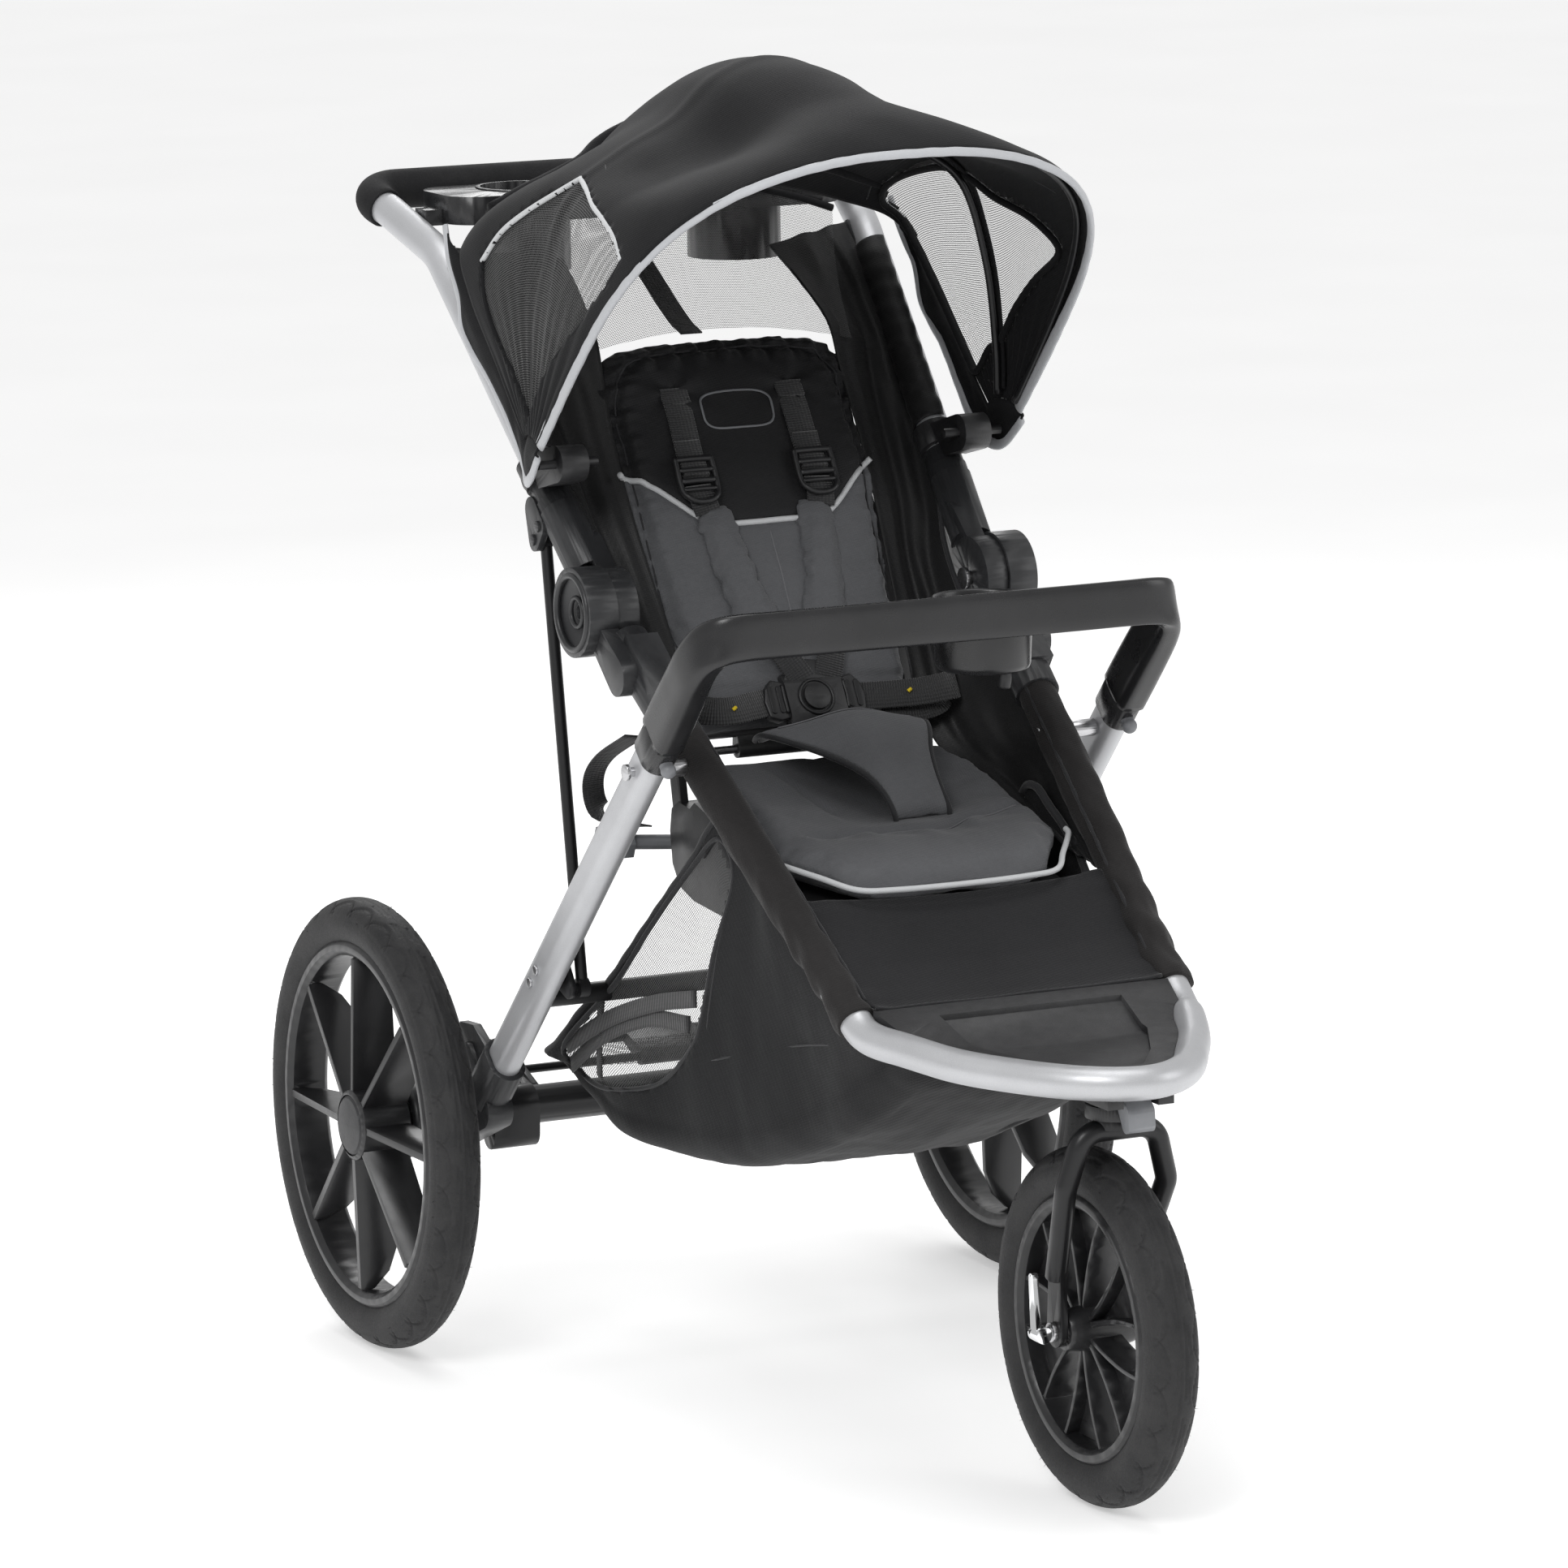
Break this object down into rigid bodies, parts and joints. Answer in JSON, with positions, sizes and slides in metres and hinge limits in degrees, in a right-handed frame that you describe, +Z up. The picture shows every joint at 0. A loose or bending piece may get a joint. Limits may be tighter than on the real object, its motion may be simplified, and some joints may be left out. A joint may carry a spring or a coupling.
{
  "type": "jogging stroller",
  "caption": "Folding jogging stroller with large rear wheels, swivel front wheel, canopy, padded seat, harness, child and parent trays and storage basket.",
  "frame": {"origin": "middle of the whole box, on the floor", "axes": "+Z up, the stroller faces -Y, its own left side is +X as seen by someone pushing it from +Y looking along -Y"},
  "size_m": [0.6692, 1.116, 1.1349],
  "materials": {
    "silver_tube": "satin silver powder",
    "black_plastic": "fine textured moulded plastic",
    "charcoal_plastic": "satin moulded plastic",
    "grey_plastic": "moulded plastic",
    "tyre_rubber": "moulded tread",
    "tube_rubber": "smooth",
    "rim_plastic": "satin black",
    "steel": "machined",
    "dark_metal": "black paint",
    "chrome": "polished",
    "foam": "closed cell foam",
    "canopy_cloth": "plain weave",
    "seat_cloth_grey": "quilted weave",
    "seat_cloth_black": "quilted weave",
    "webbing": "ribbed webbing",
    "basket_cloth": "weave and mesh"
  },
  "bodies": {
    "rear_legs": {"leg_tube_left": "silver_tube", "leg_tube_right": "silver_tube", "tray_mounts": "charcoal_plastic", "axle_bracket_left": "black_plastic", "axle_bracket_right": "black_plastic", "rear_axle_housing": "dark_metal", "rear_axle": "steel", "leg_cross_tube": "dark_metal", "link_brackets": "dark_metal", "leg_rivets": "steel"},
    "rear_wheel_left": {"rear_tyre_left": "tyre_rubber", "rear_rim_left": "rim_plastic", "rear_hub_cap_left": "rim_plastic", "rear_bearings_left": "steel", "rear_inner_tube_left": "tube_rubber"},
    "rear_wheel_right": {"rear_tyre_right": "tyre_rubber", "rear_rim_right": "rim_plastic", "rear_hub_cap_right": "rim_plastic", "rear_bearings_right": "steel", "rear_inner_tube_right": "tube_rubber"},
    "brake": {"brake_pedal": "black_plastic", "brake_shaft": "dark_metal"},
    "links": {"link_rods": "dark_metal"},
    "lower_frame": {"lower_tube": "silver_tube", "lower_hinge_left": "black_plastic", "lower_hinge_right": "black_plastic", "pivot_bolts": "steel", "footrest": "charcoal_plastic", "swivel_housing": "black_plastic", "seat_pan": "black_plastic", "seat_cushion": "seat_cloth_grey", "crotch_strap": "seat_cloth_grey", "side_wings": "seat_cloth_black", "basket": "basket_cloth"},
    "fold_handle_body": {"fold_handle": "grey_plastic"},
    "swivel_lock_body": {"swivel_lock_lever": "grey_plastic"},
    "fork": {"front_fork": "dark_metal", "front_axle": "steel"},
    "quick_release_body": {"quick_release_lever": "chrome"},
    "front_wheel": {"front_tyre": "tyre_rubber", "front_rim": "rim_plastic", "front_inner_tube": "tube_rubber", "front_bearings": "steel"},
    "upper_frame": {"handle_tube": "silver_tube", "foam_grip": "foam", "upper_hinge_left": "black_plastic", "upper_hinge_right": "black_plastic", "parent_tray": "charcoal_plastic", "canopy_mounts": "black_plastic", "canopy_fabric": "canopy_cloth"},
    "canopy_front": {"canopy_front_bow": "dark_metal"},
    "canopy_middle": {"canopy_middle_bow": "dark_metal"},
    "seat_crease": {"seat_hinge_rod": "steel", "harness_buckle": "black_plastic"},
    "buckle_button_body": {"buckle_button": "grey_plastic"},
    "seat_back": {"seat_back_board": "black_plastic", "seat_back_pad": "seat_cloth_black", "shoulder_straps": "webbing"},
    "child_tray_body": {"child_tray": "charcoal_plastic"},
    "tray_buttons_body": {"tray_buttons": "grey_plastic"}
  },
  "joints": [
    {"name": "fold", "type": "hinge", "parent": "rear_legs", "child": "lower_frame", "pos_m": [0, -0.0245, 0.566], "axis": [1, 0, 0], "range_deg": [0, 70]},
    {"name": "upper_fold", "type": "hinge", "parent": "lower_frame", "child": "upper_frame", "pos_m": [0, 0.1315, 0.677], "axis": [1, 0, 0], "range_deg": [-126, 0], "deforming": ["side_wings"]},
    {"name": "link_swing", "type": "hinge", "parent": "rear_legs", "child": "links", "pos_m": [0, 0.1635, 0.345], "axis": [1, 0, 0], "range_deg": [0, 32], "deforming": ["basket"]},
    {"name": "seat_follow", "type": "hinge", "parent": "lower_frame", "child": "seat_crease", "pos_m": [0, 0.1325, 0.546], "axis": [1, 0, 0], "range_deg": [-71, 0]},
    {"name": "recline", "type": "hinge", "parent": "seat_crease", "child": "seat_back", "pos_m": [0, 0.1325, 0.546], "axis": [1, 0, 0], "range_deg": [-35, 0]},
    {"name": "canopy", "type": "hinge", "parent": "upper_frame", "child": "canopy_front", "pos_m": [0, 0.1785, 0.798], "axis": [-1, 0, 0], "range_deg": [0, 85], "deforming": ["canopy_fabric"]},
    {"name": "canopy_mid", "type": "hinge", "parent": "upper_frame", "child": "canopy_middle", "pos_m": [0, 0.1785, 0.798], "axis": [-1, 0, 0], "range_deg": [0, 43]},
    {"name": "swivel", "type": "hinge", "parent": "lower_frame", "child": "fork", "pos_m": [0, -0.4445, 0.334], "axis": [0, 0, 1], "continuous": true},
    {"name": "front_wheel_spin", "type": "hinge", "parent": "fork", "child": "front_wheel", "pos_m": [0, -0.4095, 0.1485], "axis": [1, 0, 0], "continuous": true},
    {"name": "rear_wheel_spin_left", "type": "hinge", "parent": "rear_legs", "child": "rear_wheel_left", "pos_m": [-0.31, 0.3585, 0.1995], "axis": [1, 0, 0], "continuous": true},
    {"name": "rear_wheel_spin_right", "type": "hinge", "parent": "rear_legs", "child": "rear_wheel_right", "pos_m": [0.31, 0.3585, 0.1995], "axis": [1, 0, 0], "continuous": true},
    {"name": "brake", "type": "hinge", "parent": "rear_legs", "child": "brake", "pos_m": [0, 0.3995, 0.222], "axis": [-1, 0, 0], "range_deg": [0, 20]},
    {"name": "swivel_lock", "type": "hinge", "parent": "lower_frame", "child": "swivel_lock_body", "pos_m": [0, -0.4705, 0.3515], "axis": [-1, 0, 0], "range_deg": [0, 35]},
    {"name": "quick_release", "type": "hinge", "parent": "fork", "child": "quick_release_body", "pos_m": [-0.052, -0.4095, 0.1485], "axis": [0, -1, 0], "range_deg": [0, 80]},
    {"name": "tray_slide", "type": "slide", "parent": "rear_legs", "child": "child_tray_body", "axis": [0, -0.6921, 0.7218], "range_m": [0, 0.05]},
    {"name": "tray_release", "type": "slide", "parent": "rear_legs", "child": "tray_buttons_body", "axis": [0, 0.7218, 0.6921], "range_m": [0, 0.002]},
    {"name": "fold_release", "type": "slide", "parent": "lower_frame", "child": "fold_handle_body", "axis": [0, 1, 0], "range_m": [0, 0.02]},
    {"name": "buckle_press", "type": "slide", "parent": "seat_crease", "child": "buckle_button_body", "axis": [0, 0.8582, -0.5134], "range_m": [0, 0.003]}
  ],
  "couplings": [
    {"joint": "upper_fold", "follows": "fold", "ratio": -1.7914},
    {"joint": "link_swing", "follows": "fold", "ratio": 0.4429},
    {"joint": "seat_follow", "follows": "fold", "ratio": -1},
    {"joint": "canopy_mid", "follows": "canopy", "ratio": 0.5}
  ]
}
